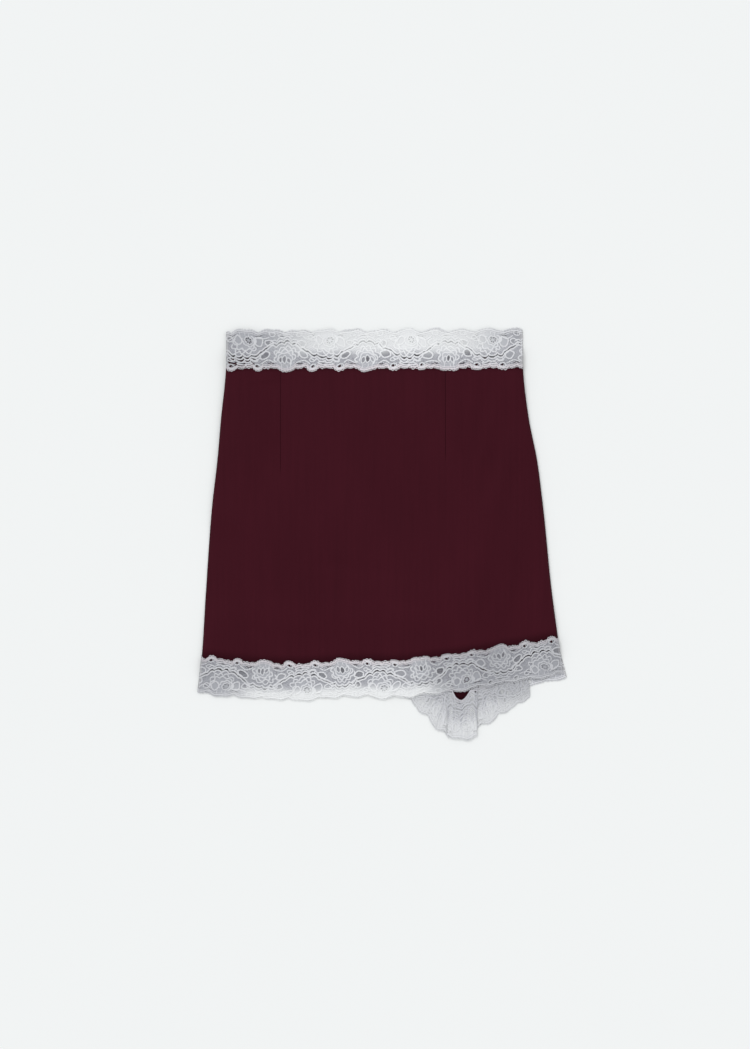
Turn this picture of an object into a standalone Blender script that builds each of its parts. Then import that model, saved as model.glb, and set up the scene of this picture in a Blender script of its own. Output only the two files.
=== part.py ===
"""Mini skirt laid flat: a satin front and back, a lace band round the waist and the hem, a concealed side
zip behind the waist lace, and an attached inner brief whose lace edge hangs out below the front hem.

Metres, +Z up. The skirt lies on z = 0 with its back down, its waist towards +Y and its front facing up. The
origin is under the middle of its outline. Every piece is an open grid of points, worked out by a function of
its place, with a Solidify wall. A piece that lies on others is lifted by one LAYER for each cloth under it.
"""
import math

import bpy
import numpy as np

# --- cloth ---
WALL = 0.0010            # every cloth wall
GAP = 0.0003             # air between two pieces that touch or are sewn together
LAYER = WALL + GAP
EASE = 0.0003            # more air where a lace follows a bent satin edge

# --- skirt outline, seen from above ---
SIDE_SEAMS = (           # height up the skirt, left seam, right seam
    (0.232, -0.1794, 0.1622),
    (0.190, -0.1794, 0.1622),
    (0.128, -0.1855, 0.1695),
    (0.083, -0.1894, 0.1785),
    (0.037, -0.1948, 0.1845),
    (-0.073, -0.2030, 0.1960),
    (-0.142, -0.2074, 0.2055),
    (-0.190, -0.2130, 0.2130),
)
WAIST_LINE = (           # across, height of the seam between satin and waist lace
    (-0.180, 0.1904),
    (0.000, 0.1910),
    (0.163, 0.1918),
)
FRONT_HEM_LINE = (       # across, height of the seam between front satin and hem lace
    (-0.206, -0.1450),
    (-0.150, -0.1512),
    (-0.094, -0.1530),
    (-0.037, -0.1495),
    (0.021, -0.1500),
    (0.078, -0.1430),
    (0.136, -0.1340),
    (0.203, -0.1235),
)
BACK_HEM_LINE = (        # the same on the back, which lies a little askew of the front
    (-0.206, -0.1455),
    (-0.163, -0.1420),
    (0.032, -0.1410),
    (0.101, -0.1410),
    (0.170, -0.1363),
    (0.203, -0.1280),
)
WAIST_ENDS_AT = 0.200    # heights at which the laces meet the side seams; the hem is higher on the right
HEM_ENDS_AT = (-0.150, -0.125)
LAP = 0.010              # satin carried on under the lace past the seam line
LAP_UP = 0.0095          # from the seam line inwards: the back satin is still up on its lace,
LAP_DOWN = 0.0175        # and is down on the surface again

# --- how far past its own edge a piece still lifts what lies over it, and where it no longer does ---
BACK_REACH = (0.004, 0.014)
LAP_REACH = (0.004, 0.014)
LEG_REACH = (0.008, 0.016)
ZIP_REACH = (0.006, 0.016)
BAND_REACH = (0.012, 0.026)
PANEL_REACH = (0.012, 0.030)

# --- lace ---
WAIST_BAND = 0.0385      # between the two scalloped edges, foot to foot
HEM_BAND = 0.0365
WAIST_PITCH = 0.0313     # one scallop; three make a repeat, the first of them under a rose
HEM_PITCH = 0.0300
HEM_EDGE_LIFT = 0.35     # the front's edge stands this far off the surface where it passes the back's, in layers
BACK_BAND_SHORT = 0.0010 # the back's waist lace is lower by this, so the front's covers it
WAIST_ROSE_AT = -0.0170  # a rose on the satin side of the band; those of the outer edge sit half a repeat on
HEM_ROSE_AT = -0.0460
BACK_HEM_ROSE_AT = -0.0300
ROSE_SCALLOP = 0.0042    # depth of a scallop with a rose
PLAIN_SCALLOP = 0.0030   # depth of a scallop with an eyelet
EYELET_FROM_EDGE = 0.0022
EYELET_TALL = 0.0036
EYELET_HALF = 0.0760     # half its width, in scallops
EYELET_BOW = 0.28        # how far each long side closes in at its ends, in eyelet heights
EYELET_CLEAR = 0.006     # none nearer to a side seam than this
SCALLOPS_IN_REPEAT = 3
SCALLOP_ROUND = 2.2      # power of a scallop's curve
ACROSS_SCALLOP = (-0.5, -0.42, -0.25, -EYELET_HALF, 0.0, EYELET_HALF, 0.25, 0.42)
ACROSS_PLAIN_SCALLOP = (-0.5, -0.3333, -0.1667, 0.0, 0.1667, 0.3333)
ACROSS_BAND = (0.36, 0.64)          # the rows between the eyelets of one edge and those of the other
ACROSS_PLAIN_BAND = (0.36, 0.72)

# --- how the front rises off the back ---
CROWN = 0.0032           # loft of the front in the middle
SIDE_ROLL = 0.045        # width over which it rises from a side seam
WAIST_RISE = 0.070       # length over which it rises from the waist seam, and from the hem seam
HEM_RISE = 0.055
HEM_LOFT = 0.30          # share of the loft that is left along the hem
TROUGH_CLEAR = 0.030     # a trough fades out over this width beside a side seam
TROUGH_END = 0.25        # and over this share of its length at each end
FRONT_TROUGHS = (        # soft troughs: from (x, y) to (x, y), half width, depth
    (0.153, 0.152, 0.104, 0.018, 0.013, 0.0012),
    (0.122, 0.172, 0.095, 0.040, 0.010, 0.0008),
    (-0.185, -0.108, -0.070, -0.124, 0.012, 0.0008),
    (0.076, -0.082, 0.084, -0.136, 0.011, 0.0007),
    (-0.080, -0.034, 0.030, -0.050, 0.008, 0.0005),
)

# --- inner brief: one doubled layer, its crotch hanging askew to the right ---
BRIEF = (                # height, left edge, right edge
    (0.1800, -0.1500, 0.1340),
    (0.1180, -0.1540, 0.1440),
    (0.0370, -0.1480, 0.1530),
    (-0.0320, -0.0940, 0.1560),
    (-0.0890, -0.0200, 0.1500),
    (-0.1240, 0.0170, 0.1450),
    (-0.1410, 0.0320, 0.1360),
    (-0.1580, 0.0480, 0.1240),
    (-0.1750, 0.0650, 0.1130),
    (-0.1930, 0.0820, 0.1020),
    (-0.2040, 0.0900, 0.0945),
)
LEFT_LEG_LACE = (        # corners: inner top, inner foot, outer foot, outer top
    (0.0600, -0.1610), (0.0795, -0.1825), (0.0770, -0.2325), (0.0215, -0.1790),
)
RIGHT_LEG_LACE = (
    (0.1680, -0.1600), (0.1010, -0.1835), (0.1085, -0.2225), (0.1705, -0.1870),
)
LEG_LACE_WAVES = 5       # gathers that fan out from the crotch on each leg
LEG_WAVE_TALL = 0.0008
LEG_SCALLOP = 0.0014
LEG_SCALLOPS = 3
LEG_WAVES_FROM = -0.190  # the gathers start here and are full from LEG_WAVES_FULL down
LEG_WAVES_FULL = -0.208
LEGS_UNDER_HEM = (-0.004, 0.195)    # stretch of the hem lace that has the leg laces under it
LEGS_FADE = 0.014
CROTCH_LACE = (0.0755, 0.1095, -0.1820, -0.2328)   # left, right, top, foot
CROTCH_DIP = 0.0112      # how far its top edge dips round the tip of the satin
CROTCH_DIP_AT = 0.45     # share of its width at which it is lowest
CROTCH_DIP_HALF = 0.31   # and half the width of the dip, in the same shares
CROTCH_FOOT_BOW = 0.0013 # how far its foot bows out in the middle

# --- concealed zip, by the left side seam ---
ZIP_TOP = 0.2270
ZIP_FOOT = 0.0300
ZIP_INSET = 0.0030       # from the left seam
ZIP_WIDE = 0.0270        # both tapes, above the waist seam
ZIP_NARROW = 0.0130      # folded on each other below it
ZIP_FOLD = (0.184, 0.172)           # from wide to narrow, just below the waist seam

# --- mesh ---
SETTLE = 3               # a seam line depends on x and a side seam on y, so a panel's grid is worked out again
FRONT_ACROSS, FRONT_DOWN = 28, 27
BACK_ACROSS, BACK_DOWN = 12, 9
BRIEF_ACROSS, BRIEF_DOWN, TIP_DOWN = 8, 8, 14
BRIEF_TIP_FROM = -0.110  # the rows are closer from here down
LEG_ALONG, LEG_OUT = 20, 7
CROTCH_ACROSS, CROTCH_DOWN = 12, 7
ZIP_ACROSS, ZIP_DOWN = 3, 7

COLLECTION = "mini_skirt"
COLOURS = {              # base colour, roughness
    "satin": ((0.042, 0.0085, 0.0130, 1.0), 0.36),
    "lace": ((0.560, 0.570, 0.600, 1.0), 0.80),
    "zip_tape": ((0.020, 0.0060, 0.0090, 1.0), 0.70),
}


def step(start, end, value):
    """0 before start, 1 after end, and a smooth S between; start may be above end."""
    t = np.clip((value - start) / (end - start), 0.0, 1.0)
    return t * t * (3.0 - 2.0 * t)


def through(table, column, at):
    """A smooth curve through one column of a short table: cubic pieces whose slopes come from their neighbours."""
    rows = np.array(sorted(table))
    place, value = rows[:, 0], rows[:, column]
    slope = np.gradient(value, place)
    at = np.clip(np.asarray(at, float), place[0] - 0.02, place[-1] + 0.02)
    inside = np.clip(at, place[0], place[-1])
    i = np.clip(np.searchsorted(place, inside) - 1, 0, len(place) - 2)
    wide = place[i + 1] - place[i]
    t = (inside - place[i]) / wide
    curve = ((1 + 2 * t) * (1 - t) ** 2 * value[i] + t * (1 - t) ** 2 * wide * slope[i]
             + t * t * (3 - 2 * t) * value[i + 1] - t * t * (1 - t) * wide * slope[i + 1])
    return curve + (at - inside) * np.where(at < inside, slope[0], slope[-1])


def left_seam(y):
    return through(SIDE_SEAMS, 1, y)


def right_seam(y):
    return through(SIDE_SEAMS, 2, y)


def between_seams(y, share):
    """A place across the skirt at height y, from 0 on the left seam to 1 on the right."""
    return left_seam(y) + (right_seam(y) - left_seam(y)) * share


def waist_line(x):
    return through(WAIST_LINE, 1, x)


def front_hem_line(x):
    return through(FRONT_HEM_LINE, 1, x)


def back_hem_line(x):
    return through(BACK_HEM_LINE, 1, x)


# ---------------------------------------------------------------- what lies under a place
def over(inside, reach):
    """1 where a place is inside an outline or just past it, and 0 further out; inside is how far in it lies."""
    near, far = reach
    return step(-far, -near, inside)


def over_back(x, y):
    """1 over the back of the skirt, falling to 0 below the outer edge of its hem lace."""
    return over(y - back_hem_line(x) + HEM_BAND + ROSE_SCALLOP, BACK_REACH)


def over_back_lap(x, y):
    """1 where the back satin rides on its lace, at the waist and at the hem, and for a little past the places
    where it has come down again; 0 further in, and out on the bare lace."""
    def at_seam(inward):
        """inward is how far a place lies from the seam line, towards the middle of the panel."""
        return over(LAP_DOWN - inward, LAP_REACH) * over(LAP + inward, LAP_REACH)
    return np.maximum(at_seam(y - back_hem_line(x)), at_seam(waist_line(x) - y))


def over_brief(x, y, reach):
    """1 over the brief's satin and just past it."""
    left, right = through(BRIEF, 1, y), through(BRIEF, 2, y)
    return over(np.minimum.reduce([x - left, right - x, BRIEF[0][0] - y, y - BRIEF[-1][0]]), reach)


def over_zip(x, y):
    """1 over the zip tape, wide above the waist seam and narrow below it."""
    wide = np.where(y > ZIP_FOLD[1], ZIP_WIDE, ZIP_NARROW)
    return over(np.minimum.reduce([left_seam(y) + ZIP_INSET + wide - x, ZIP_TOP - y, y - ZIP_FOOT]), ZIP_REACH)


def trough(x, y, x0, y0, x1, y1, half, depth):
    """A soft trough along a line: deepest in its middle, gone at its ends and at half its width on each side."""
    length = math.hypot(x1 - x0, y1 - y0)
    along = ((x - x0) * (x1 - x0) + (y - y0) * (y1 - y0)) / length ** 2
    aside = ((x - x0) * (y1 - y0) - (y - y0) * (x1 - x0)) / length
    ends = step(-TROUGH_END / 2, TROUGH_END, along) * step(1 + TROUGH_END / 2, 1 - TROUGH_END, along)
    return depth * np.exp(-(aside / half) ** 2) * ends


def crown(x, y):
    """Loft of the front: a round roll up from each side seam, flat at the waist seam, low along the hem."""
    aside = np.clip(np.minimum(x - left_seam(y), right_seam(y) - x) / SIDE_ROLL, 0.0, 1.0)
    roll = 1.0 - (1.0 - aside) ** 2
    down = waist_line(x) - y
    up = y - front_hem_line(x)
    return roll * CROWN * step(0.0, WAIST_RISE, down) * (HEM_LOFT + (1.0 - HEM_LOFT) * step(0.0, HEM_RISE, up))


def front_low(x, y):
    """Underside of the front satin: the layers below it, its loft, less its troughs."""
    layers = 1.0 + over_back_lap(x, y) + over_brief(x, y, PANEL_REACH) + over_zip(x, y)
    aside = np.clip(np.minimum(x - left_seam(y), right_seam(y) - x) / TROUGH_CLEAR, 0.0, 1.0)
    return LAYER * layers + crown(x, y) - aside * sum(trough(x, y, *row) for row in FRONT_TROUGHS)


# ---------------------------------------------------------------- making a piece
def material(name):
    mat = bpy.data.materials.get(name)
    if mat is None:
        colour, roughness = COLOURS[name]
        mat = bpy.data.materials.new(name)
        mat.use_nodes = True
        shader = mat.node_tree.nodes["Principled BSDF"]
        shader.inputs["Base Color"].default_value = colour
        shader.inputs["Roughness"].default_value = roughness
        shader.inputs["Metallic"].default_value = 0.0
    return mat


def cloth(name, x, y, low, finish, holes=None):
    """One piece: a grid of rows and columns at height low, less its holes, with a wall built upwards."""
    rows, columns = x.shape
    index = np.arange(rows * columns).reshape(rows, columns)
    corners = np.stack([index[:-1, :-1], index[:-1, 1:], index[1:, 1:], index[1:, :-1]], axis=-1)
    kept = corners[~holes] if holes is not None else corners.reshape(-1, 4)
    points = np.stack([x, y, np.broadcast_to(low, x.shape)], axis=-1).reshape(-1, 3)
    first = points[kept[0]]
    if np.cross(first[1] - first[0], first[2] - first[0])[2] < 0:
        kept = kept[:, ::-1]
    mesh = bpy.data.meshes.new(name)
    mesh.from_pydata(points.tolist(), [], kept.tolist())
    mesh.materials.append(material(finish))
    mesh.shade_smooth()
    piece = bpy.data.objects.new(name, mesh)
    bpy.data.collections[COLLECTION].objects.link(piece)
    wall = piece.modifiers.new("wall", "SOLIDIFY")
    wall.thickness = WALL
    wall.offset = 1.0
    return piece


# ---------------------------------------------------------------- satin
def front_panel():
    """The front: from its lap under the waist lace to its lap under the hem lace."""
    s, t = np.meshgrid(np.linspace(0, 1, FRONT_ACROSS + 1), np.linspace(0, 1, FRONT_DOWN + 1))
    x = between_seams(0.0 * t, s)
    for _ in range(SETTLE):
        top, foot = waist_line(x) + LAP, front_hem_line(x) - LAP
        y = top + (foot - top) * t
        x = between_seams(y, s)
    return cloth("front_panel", x, y, front_low(x, y), "satin")


def back_panel():
    """The back: flat on the surface, and one layer up where it rides on its two laces."""
    s, t = np.meshgrid(np.linspace(0, 1, BACK_ACROSS + 1), np.linspace(0, 1, BACK_DOWN + 1))
    flat = between_seams(0.0 * t, s)
    for _ in range(SETTLE):
        waist, hem = waist_line(flat), back_hem_line(flat)
        middle = (waist - LAP_DOWN) * (1 - t) + (hem + LAP_DOWN) * t
        y = np.vstack([waist[:1] + LAP, waist[:1] - LAP_UP, middle, hem[-1:] + LAP_UP, hem[-1:] - LAP])
        x = between_seams(y, s[0])
        flat = x[2:-2]
    low = np.zeros_like(x)
    low[[0, 1, -2, -1]] = LAYER
    return cloth("back_panel", x, y, low, "satin")


# ---------------------------------------------------------------- lace bands
def scallop(place, pitch, rose_at):
    """Depth of a scalloped edge: shallow round lobes one pitch wide, every third one deeper, under a rose."""
    number = np.round((place - rose_at) / pitch)
    aside = np.abs(place - rose_at - number * pitch) / pitch
    depth = np.where(number % SCALLOPS_IN_REPEAT == 0, ROSE_SCALLOP, PLAIN_SCALLOP)
    return depth * (1.0 - (2.0 * aside) ** SCALLOP_ROUND)


def stations(start, end, pitch, rose_at, fractions):
    """Places along a band: the same few in each scallop, and its two ends."""
    first, last = math.floor((start - rose_at) / pitch), math.ceil((end - rose_at) / pitch)
    places = [rose_at + (n + f) * pitch for n in range(first, last + 1) for f in fractions]
    return np.array([start] + [p for p in places if start + WALL < p < end - WALL] + [end])


def eyelet_sides(place, pitch, rose_at):
    """The two long sides of the eyelets under one edge, measured from that edge; they close in at their ends."""
    aside = np.abs((place - rose_at) / pitch - np.round((place - rose_at) / pitch))
    bow = EYELET_BOW * EYELET_TALL * np.clip(aside / EYELET_HALF, 0.0, 1.0)
    return EYELET_FROM_EDGE + bow, EYELET_FROM_EDGE + EYELET_TALL - bow


def in_eyelet(place, pitch, rose_at):
    """Which cells of a row lie in an eyelet: those in the middle of each plain scallop that is whole."""
    middle = (place[:-1] + place[1:]) / 2
    number = np.round((middle - rose_at) / pitch)
    centre = rose_at + number * pitch
    whole = (centre - EYELET_CLEAR > place[0]) & (centre + EYELET_CLEAR < place[-1])
    return (np.abs(middle - centre) < EYELET_HALF * pitch) & (number % SCALLOPS_IN_REPEAT != 0) & whole


def lace_band(name, line, start, end, outward, wide, pitch, rose_at, low, eyelets):
    """A band with two scalloped edges, along a seam line, square to it. The edge on the satin has its roses at
    rose_at, and the outer edge half a repeat further on. Each plain scallop has one eyelet through the band."""
    place = stations(start, end, pitch, rose_at, ACROSS_SCALLOP if eyelets else ACROSS_PLAIN_SCALLOP)
    outer_rose = rose_at + SCALLOPS_IN_REPEAT / 2 * pitch
    inner, outer = -scallop(place, pitch, rose_at), wide + scallop(place, pitch, outer_rose)
    middle_rows = [share * wide + 0.0 * place for share in (ACROSS_BAND if eyelets else ACROSS_PLAIN_BAND)]
    if eyelets:
        inner_rows = [inner + side for side in eyelet_sides(place, pitch, rose_at)]
        outer_rows = [outer - side for side in eyelet_sides(place, pitch, outer_rose)]
        away = np.array([inner] + inner_rows + middle_rows + outer_rows[::-1] + [outer])
    else:
        away = np.array([inner] + middle_rows + [outer])
    slope = (line(place + WALL) - line(place - WALL)) / (2 * WALL)
    square = outward / np.sqrt(1 + slope ** 2)
    x = place - slope * square * away
    y = line(place) + square * away
    holes = np.zeros((len(away) - 1, len(place) - 1), bool)
    if eyelets:
        holes[1] = in_eyelet(place, pitch, rose_at)
        holes[-2] = in_eyelet(place, pitch, outer_rose)
    return cloth(name, x, y, low(x, y), "lace", holes)


def waist_lace_low(x, y):
    """The front waist lace: on the edge of the front satin, then down onto the zip and the back lace."""
    satin_edge = waist_line(x) + LAP
    lap = over(satin_edge - y, LAP_REACH)
    bare = LAYER * (1.0 + over_zip(x, y))
    return bare + (front_low(x, np.minimum(y, satin_edge)) + LAYER + EASE - bare) * lap


def hem_lace_low(x, y):
    """The front hem lace: on the edge of the front satin, then down onto the brief, its lace and the back lace."""
    satin_edge = front_hem_line(x) - LAP
    lap = over(y - satin_edge, LAP_REACH)
    first, last = LEGS_UNDER_HEM
    legs = step(first, first + LEGS_FADE, x) * step(last, last - LEGS_FADE, x)
    back = HEM_EDGE_LIFT + (1.0 - HEM_EDGE_LIFT) * over_back(x, y)
    bare = LAYER * (back + over_back_lap(x, y) + over_brief(x, y, BAND_REACH) + legs)
    return bare + (front_low(x, np.maximum(y, satin_edge)) + LAYER + EASE - bare) * lap


def flat_low(x, y):
    """A lace of the back: flat on the surface."""
    return 0.0 * x


def lace_bands():
    """Waist and hem lace, front and back. The back pair lies flat under the edge of the back satin."""
    left, right = float(left_seam(WAIST_ENDS_AT)), float(right_seam(WAIST_ENDS_AT))
    lace_band("waist_lace_front", waist_line, left, right, 1, WAIST_BAND, WAIST_PITCH, WAIST_ROSE_AT,
              waist_lace_low, True)
    lace_band("waist_lace_back", waist_line, left, right, 1, WAIST_BAND - BACK_BAND_SHORT, WAIST_PITCH,
              WAIST_ROSE_AT + WAIST_PITCH, flat_low, False)
    hem_left, hem_right = float(left_seam(HEM_ENDS_AT[0])), float(right_seam(HEM_ENDS_AT[1]))
    lace_band("hem_lace_front", front_hem_line, hem_left, hem_right, -1, HEM_BAND, HEM_PITCH, HEM_ROSE_AT,
              hem_lace_low, True)
    lace_band("hem_lace_back", back_hem_line, hem_left, hem_right, -1, HEM_BAND, HEM_PITCH, BACK_HEM_ROSE_AT,
              flat_low, False)


# ---------------------------------------------------------------- inner brief
def brief_low(x, y):
    """Underside of what lies on the back of the skirt and comes down to the surface below its hem."""
    return LAYER * (over_back(x, y) + over_back_lap(x, y))


def brief_body():
    """The brief's satin: wide at the waist, cut away over each leg, and down to a narrow tip."""
    body = np.linspace(BRIEF[0][0], BRIEF_TIP_FROM, BRIEF_DOWN + 1)
    tip = np.linspace(BRIEF_TIP_FROM, BRIEF[-1][0], TIP_DOWN + 1)
    s, y = np.meshgrid(np.linspace(0, 1, BRIEF_ACROSS + 1), np.append(body, tip[1:]))
    left, right = through(BRIEF, 1, y), through(BRIEF, 2, y)
    x = left + (right - left) * s
    return cloth("brief_body", x, y, brief_low(x, y), "satin")


def leg_lace(name, corners):
    """The lace round one leg: short on the satin side, long on the outer side, so that it fans out in gathers."""
    inner_top, inner_foot, outer_foot, outer_top = (np.array(c) for c in corners)
    along, out = np.meshgrid(np.linspace(0, 1, LEG_ALONG + 1), np.linspace(0, 1, LEG_OUT + 1))
    inner = inner_top + (inner_foot - inner_top) * along[..., None]
    outer = outer_top + (outer_foot - outer_top) * along[..., None]
    place = inner + (outer - inner) * out[..., None]
    away = (outer - inner) / np.linalg.norm(outer - inner, axis=-1, keepdims=True)
    lobes = np.abs(np.sin(math.pi * LEG_SCALLOPS * along))
    place = place + away * (LEG_SCALLOP * lobes * out ** 3)[..., None]
    x, y = place[..., 0], place[..., 1]
    wave = 0.5 - 0.5 * np.cos(2 * math.pi * LEG_LACE_WAVES * along)
    fade = step(0.0, 0.5, out) * step(1.0, 0.92, along) * step(LEG_WAVES_FROM, LEG_WAVES_FULL, y)
    low = brief_low(x, y) + LAYER * over_brief(x, y, LEG_REACH) + LEG_WAVE_TALL * wave * fade
    return cloth(name, x, y, low, "lace")


def crotch_lace():
    """The lace across the crotch, on top of the ends of the two leg laces, its top edge round the satin's tip."""
    left, right, top, foot = CROTCH_LACE
    s, t = np.meshgrid(np.linspace(0, 1, CROTCH_ACROSS + 1), np.linspace(0, 1, CROTCH_DOWN + 1))
    aside = np.clip(np.abs(s - CROTCH_DIP_AT) / CROTCH_DIP_HALF, 0.0, 1.0)
    upper = top - CROTCH_DIP * (1.0 - aside ** 2)
    lower = foot - CROTCH_FOOT_BOW * np.sin(math.pi * s)
    x = left + (right - left) * s
    y = upper + (lower - upper) * t
    low = LAYER * (1.0 + over_back(x, y) + over_brief(x, y, LEG_REACH)) + 2 * EASE
    return cloth("brief_lace_crotch", x, y, low, "lace")


# ---------------------------------------------------------------- zip
def zip_tape():
    """The tapes of the concealed zip: side by side behind the lace, and folded together below the seam."""
    above = np.linspace(ZIP_TOP, ZIP_FOLD[0], ZIP_DOWN + 1)
    below = np.linspace(ZIP_FOLD[1], ZIP_FOOT, ZIP_DOWN + 1)
    s, y = np.meshgrid(np.linspace(0, 1, ZIP_ACROSS + 1), np.append(above, below))
    x = left_seam(y) + ZIP_INSET + np.where(y > ZIP_FOLD[1], ZIP_WIDE, ZIP_NARROW) * s
    return cloth("zip_tape", x, y, LAYER * (1.0 + over_back_lap(x, y)), "zip_tape")


def main():
    for old in list(bpy.data.objects):
        bpy.data.objects.remove(old)
    bpy.context.scene.collection.children.link(bpy.data.collections.new(COLLECTION))
    back_panel()
    lace_bands()
    zip_tape()
    brief_body()
    leg_lace("brief_lace_left", LEFT_LEG_LACE)
    leg_lace("brief_lace_right", RIGHT_LEG_LACE)
    crotch_lace()
    front_panel()


main()
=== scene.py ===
import math

import bpy
import numpy as np
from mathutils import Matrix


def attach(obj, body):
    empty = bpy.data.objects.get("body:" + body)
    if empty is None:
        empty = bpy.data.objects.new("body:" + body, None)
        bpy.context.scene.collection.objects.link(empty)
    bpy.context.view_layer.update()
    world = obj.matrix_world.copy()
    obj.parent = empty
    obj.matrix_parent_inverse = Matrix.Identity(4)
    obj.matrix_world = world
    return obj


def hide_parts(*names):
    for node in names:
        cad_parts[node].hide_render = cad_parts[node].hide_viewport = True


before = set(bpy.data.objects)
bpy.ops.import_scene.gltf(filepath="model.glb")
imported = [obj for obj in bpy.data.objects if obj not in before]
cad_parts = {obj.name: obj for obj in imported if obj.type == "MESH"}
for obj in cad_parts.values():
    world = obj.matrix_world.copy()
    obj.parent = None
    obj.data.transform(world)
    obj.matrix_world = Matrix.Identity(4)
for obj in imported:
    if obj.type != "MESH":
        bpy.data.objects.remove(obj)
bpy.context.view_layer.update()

# ==========================================================
# Back panel. One piece of polyester satin, cut wider towards the hem, lying face down on the table.
# It is sewn onto the edges of two lace bands, so near the waist and the hem it rides on the lace.

LAYER = 0.0013  # one of the solids that these shells stand for, and the air above it
SATIN_THICK = 0.00035
SATIN_LIFT = 0.00008  # the back satin's outer face above the table
BACK_GRID = 0.0040  # size of its mesh's cells
SIDE_SEAMS = (  # height up the skirt, left seam, right seam
    (0.232, -0.1794, 0.1622),
    (0.190, -0.1794, 0.1622),
    (0.128, -0.1855, 0.1695),
    (0.083, -0.1894, 0.1785),
    (0.037, -0.1948, 0.1845),
    (-0.073, -0.2030, 0.1960),
    (-0.142, -0.2074, 0.2055),
    (-0.190, -0.2130, 0.2130),
)
WAIST_LINE = (  # across, height of the seam between satin and waist lace
    (-0.180, 0.1904),
    (0.000, 0.1910),
    (0.163, 0.1918),
)
BACK_HEM_LINE = (  # across, height of the seam between back satin and hem lace
    (-0.206, -0.1455),
    (-0.163, -0.1420),
    (0.032, -0.1410),
    (0.101, -0.1410),
    (0.170, -0.1363),
    (0.203, -0.1280),
)
LAP = 0.010  # satin carried on past the seam line, along the lace
LAP_UP, LAP_DOWN = 0.0095, 0.0175  # inwards of it the satin is still up on its lace, and is down again
SIDE_TUCK = 0.0045  # width along a side seam over which front and back bend to meet each other
BACK_TUCK = 0.0005  # how far the back bends up there


def step(start, end, value):
    """A smooth step: 3 t^2 - 2 t^3, with t running from 0 at start to 1 at end; start may be above end."""
    t = np.clip((value - start) / (end - start), 0.0, 1.0)
    return t * t * (3.0 - 2.0 * t)


def through(table, column, at):
    """A curve through a column of a short table: cubic Hermite pieces, with slopes from their neighbours."""
    rows = np.array(sorted(table))
    place, value = rows[:, 0], rows[:, column]
    slope = np.gradient(value, place)
    at = np.asarray(at, float)
    inside = np.clip(at, place[0], place[-1])
    i = np.clip(np.searchsorted(place, inside) - 1, 0, len(place) - 2)
    wide = place[i + 1] - place[i]
    t = (inside - place[i]) / wide
    curve = ((1 + 2 * t) * (1 - t) ** 2 * value[i] + t * (1 - t) ** 2 * wide * slope[i]
             + t * t * (3 - 2 * t) * value[i + 1] - t * t * (1 - t) * wide * slope[i + 1])
    return curve + (at - inside) * np.where(at < inside, slope[0], slope[-1])


def across_skirt(y, share):
    """A place across the skirt at height y: left seam + share of the way to the right seam."""
    left, right = through(SIDE_SEAMS, 1, y), through(SIDE_SEAMS, 2, y)
    return left + (right - left) * share


def from_side(x, y):
    """Distance in from the nearer side seam."""
    return np.minimum(x - through(SIDE_SEAMS, 1, y), through(SIDE_SEAMS, 2, y) - x)


def waist_line(x):
    """Height of the waist seam at x."""
    return through(WAIST_LINE, 1, x)


def back_hem_line(x):
    """Height of the back's hem seam at x."""
    return through(BACK_HEM_LINE, 1, x)


def panel_grid(top, foot, cell):
    """A grid over the skirt between two lines: x = across_skirt(y, s), y = top(x) + t (foot(x) - top(x))."""
    rows = round((top(0.0) - foot(0.0)) / cell)
    columns = round(np.ptp(across_skirt(0.0, np.array([0, 1]))) / cell)
    s, t = np.meshgrid(np.linspace(0, 1, columns + 1), np.linspace(0, 1, rows + 1))
    x = across_skirt(0.0 * t, s)
    for _ in range(4):
        y = top(x) + t * (foot(x) - top(x))
        x = across_skirt(y, s)
    return x, y


def cells(shape, ring_rows=False, ring_columns=False):
    """Corner numbers of the faces of a stack of grids; a ring joins its last row or column to its first."""
    index = np.arange(math.prod(shape)).reshape(shape)
    if ring_rows:
        index = np.concatenate([index, index[:, :1]], axis=1)
    if ring_columns:
        index = np.concatenate([index, index[:, :, :1]], axis=2)
    return np.stack([index[:, :-1, :-1], index[:, :-1, 1:], index[:, 1:, 1:], index[:, 1:, :-1]], axis=-1)


def make_piece(name, points, faces, material, **values):
    """An object of these points and faces, at the origin; each value becomes an attribute of its points."""
    used, faces = np.unique(faces.reshape(-1, 4), return_inverse=True)
    mesh = bpy.data.meshes.new(name)
    mesh.from_pydata(points.reshape(-1, 3)[used].tolist(), [], faces.reshape(-1, 4).tolist())
    for key, value in values.items():
        layer = mesh.attributes.new(key, "FLOAT", "POINT")
        layer.data.foreach_set("value", value.reshape(-1)[used].astype(np.float32))
    mesh.shade_smooth()
    mesh.materials.append(material)
    piece = bpy.data.objects.new(name, mesh)
    bpy.context.scene.collection.objects.link(piece)
    return piece


def make_sheet(name, x, y, z, faces_up, material, keep=None, **values):
    """One sheet: the points (x, y, z) of a grid, its faces turned up or down, less those not kept."""
    points = np.stack([x, y, z], axis=-1)
    faces = cells((1,) + x.shape)[0]
    first = points.reshape(-1, 3)[faces[0, 0]]
    if (np.cross(first[1] - first[0], first[2] - first[0])[2] > 0) != faces_up:
        faces = faces[..., ::-1]
    return make_piece(name, points, faces if keep is None else faces[keep], material, **values)


def thicken(piece, thick):
    """Gives a sheet its thickness, behind its outer face."""
    wall = piece.modifiers.new("thickness", "SOLIDIFY")
    wall.thickness = thick
    wall.offset = -1.0


def dress(node, slot, *pieces):
    """Hides the solid that these pieces stand for, and hangs them all on the one body; slot, what they are
    made of, is not used.
    """
    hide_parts(node)
    for piece in pieces:
        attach(piece, "root")


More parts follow.
